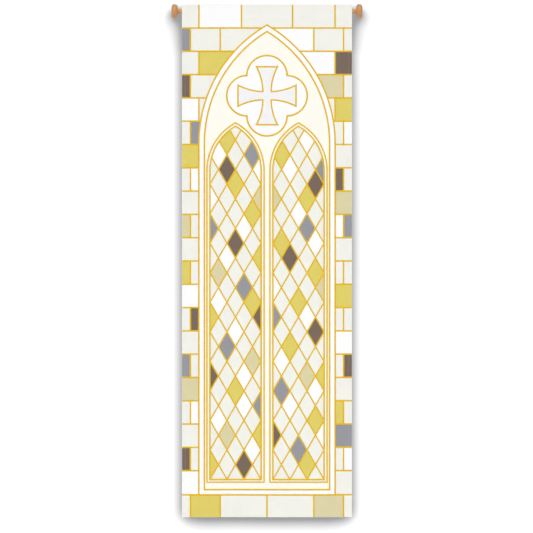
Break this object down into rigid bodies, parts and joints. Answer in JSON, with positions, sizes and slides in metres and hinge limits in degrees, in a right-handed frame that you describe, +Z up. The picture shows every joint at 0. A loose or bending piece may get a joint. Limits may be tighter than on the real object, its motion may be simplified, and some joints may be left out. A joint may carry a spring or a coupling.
{
  "type": "church banner with hanging rod",
  "caption": "Tall narrow patchwork church banner with a pointed two-light window in applique, hanging from a wooden rod with round end knobs.",
  "frame": {"origin": "middle of the hanging rod's axis", "axes": "+Z up along the banner's drop, -Y out of the decorated front, +X to the right seen from the front"},
  "size_m": [1.1216, 0.086, 3.019],
  "materials": {
    "ground": "matte woven cloth, pale warm grey",
    "ivory": "matte woven cloth, ivory",
    "pale": "matte woven cloth, off-white",
    "white": "matte woven cloth, white",
    "cross": "matte woven cloth, very pale grey",
    "khaki": "matte woven cloth, soft mustard",
    "tan": "matte woven cloth, light tan",
    "grey": "matte woven cloth, mid grey",
    "brown": "matte woven cloth, umber brown",
    "gold_thread": "satin-stitched gold thread with a soft lustre",
    "wood": "light brown wood, satin lacquer"
  },
  "bodies": {
    "root": {"banner_cloth": "ground", "rod_sleeve": "ground", "rod": "wood", "knob_left": "wood", "knob_right": "wood", "window": "ivory", "light_left": "pale", "light_right": "pale", "quatrefoil": "white", "cross": "cross"}
  },
  "joints": []
}
